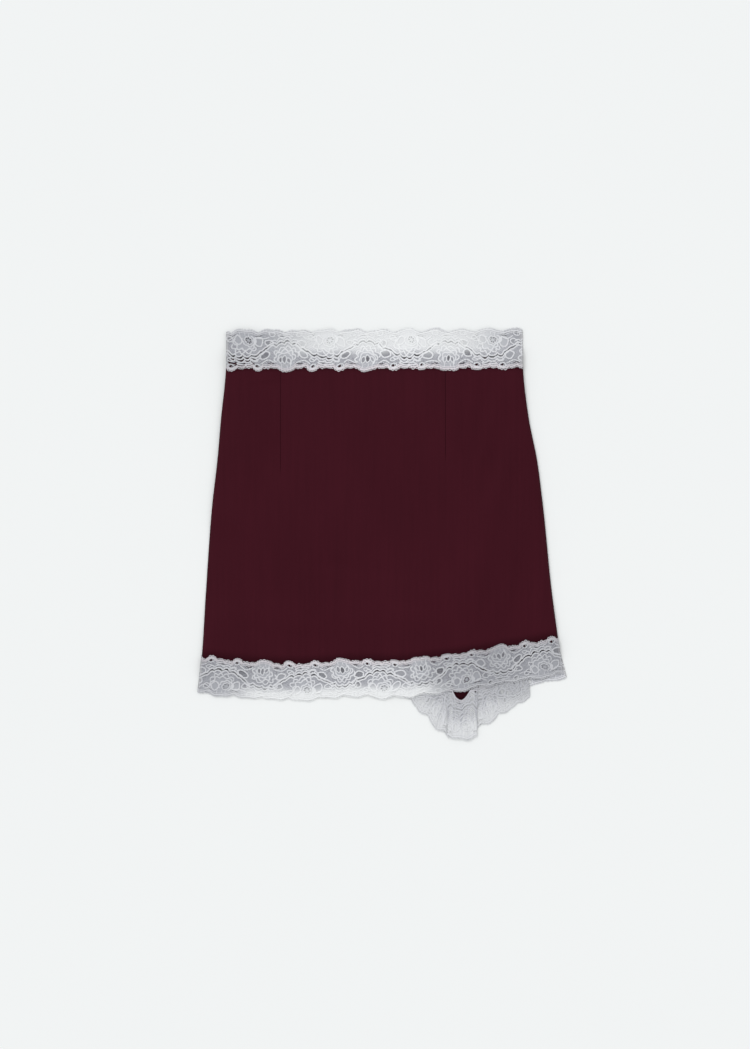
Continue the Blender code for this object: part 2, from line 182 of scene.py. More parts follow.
class Number:
    """One number in a material. Each sum, product and so on of it adds a Math node to the material."""

    def __init__(self, finish, socket):
        self.finish, self.socket = finish, socket

    def maths(operation, order=1):
        """A method that does this operation on a number and, where it takes two, on another one."""
        def method(self, *others):
            inputs = dict(zip(("Value", "Value_001"), (self, *others)[::order]))
            return self.finish.number("ShaderNodeMath", {"operation": operation}, inputs)
        return method

    __add__ = __radd__ = maths("ADD")
    __mul__ = __rmul__ = maths("MULTIPLY")
    __sub__ = maths("SUBTRACT")
    __rsub__ = maths("SUBTRACT", -1)
    __abs__ = maths("ABSOLUTE")
    sine = maths("SINE")
    root = maths("SQRT")
    bearing = maths("ARCTAN2")
    largest = maths("MAXIMUM")

    def ripple(self, pitch):
        """Up and down between 0 and 1 once in each pitch: half a sine + 0.5."""
        return (self * (2 * math.pi / pitch)).sine() * 0.5 + 0.5

    def rise(self, start, end):
        """0 at start, 1 at end and a smooth step between."""
        settings = {"interpolation_type": "SMOOTHSTEP"}
        inputs = {"Value": self, "From Min": start, "From Max": end}
        return self.finish.number("ShaderNodeMapRange", settings, inputs, "Result")


class Finish:
    """A material being put together round its Principled shader."""

    def __init__(self, name, **constants):
        self.material = bpy.data.materials.new(name)
        self.material.use_nodes = True
        self.shader = self.material.node_tree.nodes["Principled BSDF"]
        self.feed(self.shader, {key.replace("_", " "): value for key, value in constants.items()})

    def feed(self, node, inputs):
        """Sets or links a node's inputs, each found by its identifier."""
        sockets = {socket.identifier: socket for socket in node.inputs}
        for key, value in inputs.items():
            if isinstance(value, Number):
                value = value.socket
            if isinstance(value, bpy.types.NodeSocket):
                self.material.node_tree.links.new(value, sockets[key])
            else:
                sockets[key].default_value = value

    def node(self, kind, settings=None, inputs=None):
        """A node of this type, with its settings made first and then its inputs."""
        node = self.material.node_tree.nodes.new(kind)
        for key, value in (settings or {}).items():
            setattr(node, key, value)
        self.feed(node, inputs or {})
        return node

    def number(self, kind, settings=None, inputs=None, output=0):
        return Number(self, self.node(kind, settings, inputs).outputs[output])

    def attribute(self, name):
        return self.number("ShaderNodeAttribute", {"attribute_name": name}, output="Fac")

    def place(self):
        """The place on the object, and its x and y."""
        place = self.node("ShaderNodeTexCoord").outputs["Object"]
        parts = self.node("ShaderNodeSeparateXYZ", None, {"Vector": place}).outputs
        return place, Number(self, parts["X"]), Number(self, parts["Y"])

    def stretched(self, place, scale):
        """The place with each of its axes scaled."""
        settings = {"operation": "MULTIPLY"}
        return self.node("ShaderNodeVectorMath", settings, {"Vector": place, "Vector_001": scale}).outputs[0]

    def noise(self, scale, place=None, detail=2.0):
        """Soft noise round 0.5, by the place on the object where no other is given."""
        inputs = {"Vector": place or self.place()[0], "Scale": scale, "Detail": detail}
        return self.number("ShaderNodeTexNoise", None, inputs)

    def blend(self, share, first, second):
        """One colour turning into another."""
        inputs = {"Factor_Float": share, "A_Color": first, "B_Color": second}
        node = self.node("ShaderNodeMix", {"data_type": "RGBA"}, inputs)
        return next(socket for socket in node.outputs if socket.identifier == "Result_Color")

    def relief(self, height, depth, strength=1.0):
        """Links a height, 0 to 1, to the shader's normal as relief of this depth in metres."""
        bump = self.node("ShaderNodeBump", None, {"Height": height, "Distance": depth, "Strength": strength})
        self.feed(self.shader, {"Normal": bump.outputs["Normal"]})


SATIN_DEEP = (0.0290, 0.0046, 0.0080, 1.0)  # burgundy, in the hollows of the weave
SATIN_LIT = (0.0508, 0.0076, 0.0136, 1.0)  # and on its floats
SATIN_SEAM_SHADE = (0.0110, 0.0014, 0.0026, 1.0)  # painted shade in the crease of a seam and beside the lace at a seam
SATIN_GLOSS = (0.80, 0.20, 0.30, 1.0)  # tint of its reflections
THREADS = (2400.0, 90.0, 1.0)  # how fine the warp threads are, across and along the grain
SLUBS = (300.0, 9.0, 1.0)  # the thicker ones among them
CLOUDS = (16.0, 7.0, 1.0)  # and the soft patches of shade
SATIN_RELIEF = 0.00004
DART_LINE, DART_LINE_FADE = 0.0005, 0.020  # half width of a dart's seam, and the length of its faint end


def satin(name, darts=()):
    """Satin: long floats along the grain, as a fine noise drawn out along y. A dart's seam is a thin crease
    (across, foot) with painted shade along it, and painted shade darkens the cloth by its attribute where it
    runs down to a seam beside the lace."""
    finish = Finish(name, Specular_IOR_Level=0.12, Specular_Tint=SATIN_GLOSS)
    place, x, y = finish.place()
    threads = finish.noise(1.0, finish.stretched(place, THREADS), 1.0)
    slub, cloud = (finish.noise(1.0, finish.stretched(place, fine)) for fine in (SLUBS, CLOUDS))
    colour = finish.blend(0.40 * threads + 0.55 * cloud + 0.45 * slub - 0.20, SATIN_DEEP, SATIN_LIT)
    colour = finish.blend(finish.attribute("pressed"), colour, SATIN_SEAM_SHADE)
    height = threads * 0.6 + slub * 0.4
    seam = None
    for at, foot in darts:
        line = 1.0 - abs(x - at).rise(DART_LINE * 0.3, DART_LINE)
        line = line * y.rise(foot, foot + DART_LINE_FADE)
        seam = line if seam is None else seam.largest(line)
    if seam is not None:
        # painted shade along each dart's seam
        colour = finish.blend(seam * 0.85, colour, SATIN_SEAM_SHADE)
        height = height - seam * 4.0
    finish.feed(finish.shader, {"Base Color": colour, "Roughness": 0.40 + 0.10 * threads})
    finish.relief(height, SATIN_RELIEF, 0.5)
    return finish.material


x, y = panel_grid(lambda x: waist_line(x) + LAP, lambda x: back_hem_line(x) - LAP, BACK_GRID)
inwards = np.minimum(waist_line(x) - y, y - back_hem_line(x))
z = SATIN_LIFT + LAYER * step(LAP_DOWN, LAP_UP, inwards) + BACK_TUCK * step(SIDE_TUCK, 0.0, from_side(x, y))
# painted shade on the back satin within 9 mm of the waist and hem seams, beside the lace
back_panel = make_sheet("back_satin", x, y, z, False, satin("back_satin"),
                        pressed=0.5 * step(0.009, 0.0, inwards))
thicken(back_panel, SATIN_THICK)
dress("back_panel", "satin", back_panel)

# ==========================================================
# Back lace bands, at the waist and the hem. Each is a stretch galloon of nylon net, closely worked in
# its petals and leaves and outlined in a thick white cord, cut along its own two scalloped edges and
# lapped over the satin's edge. Their right side faces the table.

WAIST_WIDE, HEM_WIDE = 0.0385, 0.0365  # between the two scalloped edges, foot to foot
WAIST_CUT, HEM_CUT = 0.0455, 0.0440  # the width with both scallops
WAIST_PITCH, HEM_PITCH = 0.0313, 0.0300  # one scallop; three make a repeat
WAIST_ROSE_AT, HEM_ROSE_AT, BACK_HEM_ROSE_AT = -0.0170, -0.0460, -0.0300
WAIST_ENDS_AT = 0.200  # heights at which the bands meet the side seams
HEM_ENDS_AT = (-0.150, -0.125)
SLOPE_OVER = 0.0010  # a seam line's slope is taken over this much on each side
DRAWN_PITCH, DRAWN_WIDE = 0.0300, 0.0365  # the size at which the pattern below is drawn
REPEAT = 3 * DRAWN_PITCH
ROSE_SCALLOP, PLAIN_SCALLOP = 0.0042, 0.0030
LOBES = (  # of the edge on the satin: along, half width, depth
    (0.0000, 0.0112, 0.0044),
    (0.0158, 0.0046, 0.0015),
    (0.0300, 0.0066, 0.0039),
    (0.0406, 0.0044, 0.0012),
    (0.0498, 0.0042, 0.0015),
    (0.0600, 0.0062, 0.0037),
    (0.0700, 0.0040, 0.0012),
    (0.0790, 0.0042, 0.0017),
)
ROSE_DEPTH, ROSE_SQUASH = 0.0076, 0.94  # a rose's centre, in from the foot of the scallops; height to width
# A rose's arcs: aside, radius, half angle, lean, number of petals, depth of the cusps, cord.
NEAR_ARCS = (  # of the rose beside the satin
    (0.0000, 0.0084, 2.15, 0.30, 4, 0.13, 0.0015),
    (-0.0005, 0.0122, 1.80, -0.12, 5, 0.24, 0.0018),
    (0.0004, 0.0158, 1.25, 0.12, 5, 0.20, 0.0016),
)
# Petals and leaves: along, depth, half length, half width, turn, cord, shade.
NEAR_OVALS = (
    (-0.0046, 0.0074, 0.0036, 0.0020, 1.25, 0.0012, 0.75),
    (-0.0002, 0.0084, 0.0042, 0.0024, 1.50, 0.0013, 1.15),
    (0.0045, 0.0070, 0.0034, 0.0019, 1.95, 0.0012, 0.85),
    (-0.0234, 0.0122, 0.0057, 0.0039, 0.35, 0.0017, 0.95),
    (0.0202, 0.0138, 0.0055, 0.0039, -0.48, 0.0017, 1.00),
    (0.0300, 0.0084, 0.0044, 0.0022, 0.30, 0.0012, 0.40),
    (-0.0350, 0.0078, 0.0046, 0.0022, -0.30, 0.0012, 0.65),
    (0.0446, 0.0034, 0.0090, 0.0014, -0.05, 0.0010, 1.00),
)
FREE_ARCS = (  # of the rose by the free edge, whose heart is a ring of small holes
    (0.0040, 0.0045, math.pi, 0.0, 7, 0.12, 0.0013),
    (0.0036, 0.0074, 2.30, 0.20, 5, 0.18, 0.0017),
    (0.0000, 0.0128, 1.80, 0.10, 5, 0.22, 0.0018),
    (0.0000, 0.0165, 1.15, -0.10, 5, 0.20, 0.0016),
)
FREE_OVALS = (
    (-0.0074, 0.0074, 0.0048, 0.0040, 1.45, 0.0017, 0.30),
    (-0.0164, 0.0058, 0.0042, 0.0025, 0.50, 0.0014, 0.55),
    (0.0158, 0.0096, 0.0058, 0.0042, 0.95, 0.0017, 0.25),
    (-0.0282, 0.0118, 0.0055, 0.0039, -0.35, 0.0017, 1.00),
    (0.0272, 0.0104, 0.0050, 0.0030, 0.30, 0.0014, 0.75),
    (0.0450, 0.0030, 0.0086, 0.0013, 0.06, 0.0010, 0.90),
)
# Each repeat has both roses: shift along it, whether by the free edge, arcs, ovals.
ROSES = ((0.0, False, NEAR_ARCS, NEAR_OVALS), (REPEAT / 2, True, FREE_ARCS, FREE_OVALS))
RIBS, RIB_CORD = (-0.0054, 0.0013, 0.0056), 0.0008  # bars between a rose and its scallop
EYELET_AT, EYELET_TALL, EYELET_WIDE = 0.0007, 0.0040, 0.0056
EYELET_CORD, BAR_CORD, STEM_CORD = 0.0012, 0.0006, 0.0013
SLITS = (  # between the lobes of an edge: along, depth, half length, half width
    (0.0150, 0.0030, 0.0034, 0.0013),
    (0.0415, 0.0028, 0.0030, 0.0012),
    (0.0745, 0.0032, 0.0038, 0.0013),
)
WAVE_SWING = 0.0078  # of the double cord that winds along the middle
WAVE_LOBES, WAVE_LOBE = 10, 0.0036
WAVE_APART, WAVE_CORD = 0.00165, 0.0019  # from the middle of its gap to each cord, and their width
CREST_HALF, CREST_APART, CREST_CORD = 0.0175, 0.0047, 0.0014  # of the cord that repeats it past each rose
PICOT_PITCH, PICOT = 0.0027, 0.0018  # of the small loops that make an edge toothed
EDGE_CORD, FINE_CORD = 0.0017, 0.0009  # along each edge
CORD_FLAT = 0.62  # height of a cord to its width
SIDE_SEAM = 0.0032  # width of the seam across a band's end
NET_CELL = 0.0009  # of the worked ground's mesh
STITCH_LONG, STITCH_EVERY, STITCH_DEPTH = 0.0017, 0.0030, 0.0048
ZIGZAG_EVERY, ZIGZAG_WIDE = 0.0016, 0.0010  # of the stitches over a band's end
THREAD = 0.0005


def near_edge(along):
    """Depth of the edge on the satin: the largest of its lobes, each d (1 - u^2)^0.7, u from -1 to 1."""
    at, half, deep = np.array(LOBES).T
    u = np.asarray(along)[..., None] - at
    u = np.clip(np.abs(u - REPEAT * np.round(u / REPEAT)) / half, 0.0, 1.0)
    return (deep * (1.0 - u * u) ** 0.7).max(axis=-1)


def far_edge(along):
    """Depth of the free edge: d (1 - |2u|^2.2), u from -0.5 to 0.5 in a scallop, each third by a rose."""
    number = np.round(along / DRAWN_PITCH)
    u = np.abs(along / DRAWN_PITCH - number)
    return np.where(number % 3 == 0, ROSE_SCALLOP, PLAIN_SCALLOP) * (1.0 - (2.0 * u) ** 2.2)


def wave(along):
    """Depth of the double cord, with t = pi along / repeat: half the band + swing cos 2t + lobe
    (|sin(lobes t)|^0.5 - 0.5), whose lobes bulge away from the rose that it passes round."""
    turn = math.pi * along / REPEAT
    lobes = WAVE_LOBE * (np.sqrt(np.abs(np.sin(WAVE_LOBES * turn + 0.4))) - 0.5)
    return DRAWN_WIDE / 2 + np.cos(2 * turn) * WAVE_SWING + (np.cos(2 * turn) * 1.6).clip(-1, 1) * lobes


def pointed_oval(along, depth, half_long, half_wide, turn, turns):
    """Points round an oval with pointed ends: (half_long cos a, half_wide sin a |sin a|^0.5), turned."""
    angle = 2 * math.pi * turns
    u, v = half_long * np.cos(angle), half_wide * np.sin(angle) * np.sqrt(np.abs(np.sin(angle)))
    return np.stack([along + u * math.cos(turn) - v * math.sin(turn),
                     depth + u * math.sin(turn) + v * math.cos(turn)], axis=-1)


def petals(aside, radius, half, lean, count, cusp, share):
    """Points of an arc of petals, from -half to half round: radius (1 - cusp + cusp |cos(pi count angle /
    (2 half))|), leant over and squashed along the depth."""
    angle = half * (2 * share - 1)
    r = radius * (1.0 - cusp + cusp * np.abs(np.cos(math.pi * count * angle / (2 * half))))
    angle = angle + lean
    return np.stack([aside + r * np.sin(angle), ROSE_DEPTH + ROSE_SQUASH * r * np.cos(angle)], axis=-1)


def steps_for(length, cell):
    """How many steps a cord of this length takes, from 0 to 1."""
    return np.linspace(0.0, 1.0, max(5, round(length / cell)))


def straight(first, last, cell):
    """A straight cord between two places."""
    first, last = np.array(first), np.array(last)
    return first + (last - first) * steps_for(np.hypot(*(last - first)), cell)[:, None]


def rose_cords(arcs, ovals, cell):
    """The cords of one rose and what goes with it: lists of (points, width, whether it is a ring)."""
    cords = []
    for *arc, wide in arcs:
        radius, half = arc[1:3]
        ring = half == math.pi
        share = steps_for(2 * half * radius, cell)[:-1 if ring else None]
        cords.append((petals(*arc, share), wide, ring))
    for *oval, wide, _ in ovals:
        turns = steps_for(4.6 * oval[2], cell)[:-1]
        cords.append((pointed_oval(*oval, turns), wide, True))
    crest = CREST_HALF * (2 * steps_for(2.4 * CREST_HALF, cell) - 1)
    cords.append((np.stack([crest, wave(crest) + CREST_APART], axis=-1), CREST_CORD, False))
    for rib in RIBS:
        bar = straight((rib, -0.0018), (rib * 0.9 + 0.0004, 0.0022 + 0.3 * abs(rib)), cell)
        cords.append((bar, RIB_CORD, False))
    wide, tall = EYELET_WIDE / 2, EYELET_TALL / 2
    turns = 2 * math.pi * steps_for(math.pi * EYELET_WIDE, cell)[:-1]
    share = steps_for(0.018, cell)
    for side in (-1, 1):
        middle = side * DRAWN_PITCH
        ring = np.stack([middle + (wide + 0.0005) * np.cos(turns),
                         EYELET_AT + (tall + 0.0005) * np.sin(turns)], axis=-1)
        bar = straight((middle + 0.0006, EYELET_AT - tall), (middle + 0.0016, EYELET_AT + tall), cell)
        stem = np.stack([side * (0.0112 + 0.0150 * share),
                         0.0034 + 0.0032 * np.sin(math.pi * share)], axis=-1)
        cords += [(ring, EYELET_CORD, True), (bar, BAR_CORD, False), (stem, STEM_CORD, False)]
    return cords


def running_lines(along):
    """The cords that run the whole length of a band: (depths, width, 1 for the edge on the satin)."""
    lines = [(wave(along) - WAVE_APART, WAVE_CORD, 0.0), (wave(along) + WAVE_APART, WAVE_CORD, 0.0)]
    loops = PICOT * np.abs(np.sin(math.pi * along / PICOT_PITCH + 1.5 * np.sin(along * 310.0)))
    for edge, far in ((-near_edge(along), 0.0), (-far_edge(along - REPEAT / 2), 1.0)):
        inwards = ((0.0011, EDGE_CORD), (0.0030, FINE_CORD), (0.0005 - loops, FINE_CORD))
        for inset, wide in inwards:
            lines.append((DRAWN_WIDE * far + (edge + inset) * (1.0 - 2.0 * far), wide, 1.0 - far))
    return lines


def out_of_oval(u, v, middle, level, half_long, half_wide, turn=0.0):
    """How far out of an oval's middle a place lies, in shares of its half length and half width."""
    u, v = u - middle, v - level
    p, q = u * math.cos(turn) + v * math.sin(turn), v * math.cos(turn) - u * math.sin(turn)
    return np.hypot(p / half_long, q / half_wide)


def worked(along, depth):
    """At a place of the pattern: how closely the net is worked, how dark its fillings are, the way from the
    middle of the nearest ring of holes, and whether an eyelet's hole is there."""
    close, shade, hole = np.zeros_like(along), np.zeros_like(along), np.zeros(along.shape, bool)
    for shift, far, arcs, ovals in ROSES:
        number = np.round((along - shift) / REPEAT)
        u = along - shift - REPEAT * number
        v = DRAWN_WIDE - depth if far else depth
        from_rose = out_of_oval(u, v, 0.0, ROSE_DEPTH, 1.0, ROSE_SQUASH)
        close = np.maximum(close, 0.75 * step(arcs[-2][1], arcs[-2][1] - 0.002, from_rose))
        for n, (*oval, _, dark) in enumerate(ovals):
            inside = step(1.08, 0.72, out_of_oval(u, v, *oval))
            uneven = 0.65 + 0.35 * np.sin(5.0 * number + 2.3 * n + 1.7 * far)
            close = np.maximum(close, inside)
            shade = np.maximum(shade, dark * uneven * inside)
        for middle, *slit in SLITS:
            w = u - middle
            w = w - REPEAT * np.round(w / REPEAT)
            shade = np.maximum(shade, 1.3 * step(1.2, 0.6, out_of_oval(w, v, 0.0, *slit)))
        for at in (-DRAWN_PITCH, DRAWN_PITCH):
            hole |= out_of_oval(u, v, at, EYELET_AT, EYELET_WIDE / 2, EYELET_TALL / 2) < 1.0
        heart = (u - arcs[0][0], v - ROSE_DEPTH)
    return close, shade, heart, hole


def tubes(place, paths, wide, above, ring, sides=6):
    """Cords along paths (count, steps, along and depth), put on the lace by place(). A section is an
    ellipse: centre + side cos(a) w / 2 + up (above + flat sin(a) w / 2). Its width w swells and thins a
    little along the cord, and closes in at the ends."""
    centre = place(paths[..., 0], paths[..., 1])
    ahead = np.roll(centre, -1, axis=1) - np.roll(centre, 1, axis=1)
    if not ring:
        ahead[:, 0], ahead[:, -1] = centre[:, 1] - centre[:, 0], centre[:, -1] - centre[:, -2]
    side = np.stack([-ahead[..., 1], ahead[..., 0], np.zeros(ahead.shape[:2])], axis=-1)
    side /= np.maximum(np.linalg.norm(side, axis=-1, keepdims=True), 1e-9)
    run = np.cumsum(np.linalg.norm(np.diff(centre, axis=1, prepend=centre[:, :1]), axis=-1), axis=1)
    half = wide / 2 * (1.0 + 0.16 * np.sin(run * 1900.0 + 90.0 * centre[:, :1, 0]))
    if not ring:
        half[:, [0, -1]] *= 0.12
    turn = 2 * math.pi * np.arange(sides) / sides
    points = centre[:, :, None] + side[:, :, None] * (half[..., None] * np.cos(turn))[..., None]
    points[..., 2] += above + CORD_FLAT * half[..., None] * np.sin(turn)
    return points, cells(points.shape[:3], ring, True), np.repeat(run[..., None], sides, axis=2)


def lace(name, band, finishes, faces_up, above, look, seamed=True, cell=0.0008, sides=6):
    """One piece of galloon: the worked net, the cords on it and the stitches that fasten it. Its band is
    (place, start, end, rose_at, pitch, wide); above is how far the cords' middle stands off the net; seamed
    is whether its ends are sewn up in seams. At a place, look gives its tone of painted shade, how washed
    out it is by painted light and how far its slits gape."""
    place, start, end, rose_at, pitch, wide = band
    along_scale, depth_scale = pitch / DRAWN_PITCH, wide / DRAWN_WIDE
    first, last = (start - rose_at) / along_scale, (end - rose_at) / along_scale

    def on_lace(along, depth):
        """Places the pattern, drawn a little out of true by slow sines of both of its measures."""
        loose = step(first, first + 0.006, along) * step(last, last - 0.006, along)
        along = along + loose * (0.0007 * np.sin(170 * along + 260 * depth + 40 * start)
                                 + 0.0006 * np.sin(310 * depth - 95 * along))
        depth = depth + (0.0005 * np.sin(230 * along + 90 * depth)
                         + 0.0004 * np.sin(430 * along - 160 * depth))
        return place(rose_at + along * along_scale, depth * depth_scale)

    along = np.linspace(first, last, round((last - first) / NET_CELL) + 1)
    near, far = -near_edge(along), DRAWN_WIDE + far_edge(along - REPEAT / 2)
    share = np.linspace(0.0, 1.0, round(DRAWN_WIDE / NET_CELL) + 1)[:, None]
    depth = near + (far - near) * share
    along = along + 0.0 * share
    close, shade, heart, hole = worked(along, depth)
    seam = seamed * step(SIDE_SEAM, SIDE_SEAM * 0.7, np.minimum(along - first, last - along))
    x, y, z = np.moveaxis(on_lace(along, depth), -1, 0)
    tone, pale, gape = look(x, y, depth)
    hole &= pale < 0.4
    keep = ~(hole[:-1, :-1] & hole[1:, :-1] & hole[:-1, 1:] & hole[1:, 1:])
    net = make_sheet(name, x, y, z, faces_up, finishes[0], keep, along=along, depth=depth, close=close,
                     shade=shade, gap=depth - wave(along), heart_x=heart[0], heart_y=heart[1], seam=seam,
                     tone=tone, pale=pale, gape=gape)

    lengths = np.linspace(first, last, round((last - first) / cell) + 1)
    batches = [(np.stack([lengths, line], axis=-1)[None], width, False, blush)
               for line, width, blush in running_lines(lengths)]
    starts = np.arange(math.floor(first / REPEAT) - 1, math.ceil(last / REPEAT) + 2) * REPEAT
    starts = np.stack([starts, 0.0 * starts], axis=-1)[:, None]
    for shift, far, arcs, ovals in ROSES:
        for path, width, ring in rose_cords(arcs, ovals, cell):
            path = path[None] + starts + (shift, 0.0)
            batches.append((path * (1, -1) + (0.0, DRAWN_WIDE) if far else path, width, ring, 0.0))
    rows = steps_for(DRAWN_WIDE, cell)
    zigzag = ZIGZAG_WIDE * np.abs(2 * (rows * DRAWN_WIDE / ZIGZAG_EVERY % 1.0) - 1.0)
    for at, inset in ((first, 1), (last, -1)) if seamed else ():
        near, far = -near_edge(at), DRAWN_WIDE + far_edge(at - REPEAT / 2)
        overlock = np.stack([at + inset * (0.0006 + 1.6 * zigzag), near + (far - near) * rows], axis=-1)
        batches.append((overlock[None], THREAD, False, 0.0))
    stitch = np.arange(first + 0.002, last - 0.002, STITCH_EVERY)[:, None] + np.linspace(0.0, STITCH_LONG, 5)
    stitch = np.stack([stitch, STITCH_DEPTH - 0.5 * near_edge(stitch)], axis=-1)
    batches.append((stitch, THREAD, False, 0.5))
    points, faces, values, total = [], [], [], 0
    for paths, width, ring, blush in batches:
        tube, corners, run = tubes(on_lace, paths, width, above, ring, sides)
        inside = (paths[..., 0] > first - 1e-6) & (paths[..., 0] < last + 1e-6)
        whole = inside & np.roll(inside, -1, axis=1)
        corners = corners[whole if ring else whole[:, :-1]]
        points.append(tube.reshape(-1, 3))
        faces.append(corners.reshape(-1, 4) + total)
        values.append(np.stack([run, 0.0 * run + blush, 0.0 * run + paths[..., 1:]], axis=-1))
        total += len(points[-1])
    points, values = np.concatenate(points), np.concatenate([v.reshape(-1, 3) for v in values])
    tone, pale, _ = look(points[:, 0], points[:, 1], values[:, 2])
    cords = make_piece(name + "_cord", points, np.concatenate(faces), finishes[1], run=values[:, 0],
                       blush=values[:, 1], tone=tone, pale=pale)
    return net, cords


def declare(net, cords, node, flat, rests_on, area=None):
    """Hides the solid that a piece of lace stands for and hangs its net and cords on the body; what it lies
    on (rests_on) and the size it was cut to (flat) are not used.
    """
    dress(node, "lace", net, cords)


# the net's ground is grey partly as painted shade between its threads
GROUND_GREY, GROUND_PALE = (0.42, 0.425, 0.465), (0.57, 0.575, 0.615)
CLOTHWORK = (0.58, 0.59, 0.63)  # of the closely worked petals
FILLING_SHADE = (0.10, 0.10, 0.12)  # painted shade in the open fillings of the leaves and streaks
GAP_SHADE = (0.06, 0.055, 0.065)  # painted shade between the two cords of the wave, and in the rose's holes and the slits
SEAM_GREY = (0.43, 0.42, 0.42)
CORD_WHITE, CORD_SHADE = (0.88, 0.885, 0.905), (0.74, 0.745, 0.775)
EDGE_BLUSH = (0.79, 0.735, 0.765)  # the cord beside the satin, which takes a little of its red
WASHED = (0.90, 0.91, 0.91)  # where light through the cloth washes the pattern out
DIM = (0.26, 0.265, 0.29)  # painted shade: what a band turns to as its tone falls from 1
NET_PITCH = 0.0016  # between two holes of the net
HATCH_PITCH = 0.0014  # of the crossed threads in a filling
THREAD_PITCH = 0.0007  # of the clothwork and of the cords' twist
CONTOUR_PITCH = 0.0046  # of the lines of the ground that follow the wave
NET_RELIEF, CORD_RELIEF = 0.00022, 0.00010
GATHERS = (420.0, 26.0)  # how fine the painted streaks of light on gathered lace are, along and across it
HOLES_OUT, HOLES = 0.0026, 7  # of a rose's ring of holes: its radius and their number
GAP_HALF = (0.0005, 0.0012)  # half the wave's gap: all dark within the first, none past the second
SLIT_NEAR, SLIT_NEAR_HALF = 0.0032, (0.0004, 0.0012)  # the slits that gape over the zip, from the wave
SLIT_FAR, SLIT_FAR_HALF = 0.0092, (0.0014, 0.0026)


def toned(colour, contrast):
    """A colour as it is at this contrast, between that of the pale ground and its own."""
    return tuple(p + (c - p) * contrast for c, p in zip(colour, GROUND_PALE)) + (1.0,)


def lace_net(name, contrast, gathered=0.0):
    """The net: holes in a triangular array, where the sum of three cosines 60 degrees apart is high, closed
    by how closely it is worked. Fillings are crossed threads with painted shade between them, gathers are
    pale streaks of painted light."""
    finish = Finish(name, Specular_IOR_Level=0.15, Roughness=0.8)
    along, depth, close, shade, seam, from_wave, heart_x, heart_y, gape, pale, tone = map(finish.attribute, (
        "along", "depth", "close", "shade", "seam", "gap", "heart_x", "heart_y", "gape", "pale", "tone"))
    turn = 2 * math.pi / (NET_PITCH * math.sqrt(3) / 2)
    ways = [(along * (math.cos(angle) * turn) + depth * (math.sin(angle) * turn) + math.pi / 2).sine()
            for angle in (0.0, 2 * math.pi / 3, 4 * math.pi / 3)]
    holes = ways[0] + ways[1] + ways[2]
    opened = holes.rise(0.0, 0.9) * (1.0 - close) * (1.0 - seam)
    hatch = 2 * math.pi / HATCH_PITCH
    hatched = ((along + depth) * hatch).sine().largest(((along - depth) * hatch).sine()).rise(1.0, 0.3)
    dark = shade * (0.35 + 0.65 * hatched)
    gap = 1.0 - abs(from_wave).rise(*GAP_HALF)
    from_heart = (heart_x * heart_x + heart_y * heart_y).root()
    spokes = (heart_x.bearing(heart_y) * HOLES).sine().rise(-0.3, 0.4)
    dots = spokes * (1.0 - abs(from_heart - HOLES_OUT).rise(0.0006, 0.0012))
    nearer = 1.0 - abs(from_wave + SLIT_NEAR).rise(*SLIT_NEAR_HALF)
    further = 1.0 - abs(from_wave + SLIT_FAR).rise(*SLIT_FAR_HALF)
    empty = gap.largest(dots).largest(nearer.largest(further) * gape) * contrast ** 2
    cloud, speck = finish.noise(70.0), finish.noise(420.0)
    mottle = 0.45 * cloud + 0.35 * speck + 0.35 * from_wave.ripple(CONTOUR_PITCH) - 0.1
    colour = finish.blend(mottle, toned(GROUND_GREY, contrast), toned(GROUND_PALE, contrast))
    # painted shade in the fillings, and in the wave's gap, the rose's holes and the slits
    for share, grey in ((close * (0.6 + 0.4 * speck), CLOTHWORK), (dark, FILLING_SHADE), (empty * 0.9, GAP_SHADE),
                        (seam * 0.8, SEAM_GREY)):
        colour = finish.blend(share, colour, toned(grey, contrast))
    height = (1.0 - opened) * 0.4 - 0.5 * empty - 0.4 * dark
    # painted light and shade of the gathers' pleats, as pale streaks
    if gathered:
        drawn_out = {"X": along * GATHERS[0], "Y": depth * GATHERS[1]}
        drawn_out = finish.node("ShaderNodeCombineXYZ", None, drawn_out).outputs[0]
        streaks = finish.noise(1.0, drawn_out, 1.0).rise(0.32, 0.68)
        colour = finish.blend(streaks * gathered, colour, WASHED + (1.0,))
        height = height + 1.6 * streaks
    # painted light washes the pattern out by pale, and painted shade dims it by the band's tone
    colour = finish.blend(pale, colour, WASHED + (1.0,))
    dimmed = finish.blend(1.0 - tone, colour, DIM + (1.0,))
    thin = 0.60 * opened + 0.10 * close + 0.42 * dark + (0.72 + 0.24 * gape) * empty * (1.0 - seam)
    finish.feed(finish.shader, {"Base Color": dimmed, "Alpha": 1.0 - thin * (1.0 - 0.75 * pale)})
    finish.relief(height + close * (0.2 + 0.2 * along.ripple(THREAD_PITCH)), NET_RELIEF, 0.7)
    return finish.material


def lace_cord(name, contrast):
    """The cords: white rayon, shaded along its twist by a sine of the distance along it."""
    finish = Finish(name, Specular_IOR_Level=0.25, Sheen_Weight=0.15, Sheen_Roughness=0.5)
    twist = finish.attribute("run").ripple(THREAD_PITCH)
    cloud, speck = finish.noise(90.0), finish.noise(500.0)
    mottle = 0.35 * twist + 0.5 * cloud + 0.45 * speck - 0.1
    colour = finish.blend(mottle, toned(CORD_SHADE, contrast), toned(CORD_WHITE, contrast))
    colour = finish.blend(0.8 * finish.attribute("blush"), colour, toned(EDGE_BLUSH, contrast))
    # the same painted light and painted shade as on the band's net
    colour = finish.blend(finish.attribute("pale"), colour, WASHED + (1.0,))
    dimmed = finish.blend(1.0 - finish.attribute("tone"), colour, DIM + (1.0,))
    finish.feed(finish.shader, {"Base Color": dimmed, "Roughness": 0.60 + 0.15 * cloud})
    finish.relief(twist, CORD_RELIEF, 0.5)
    return finish.material


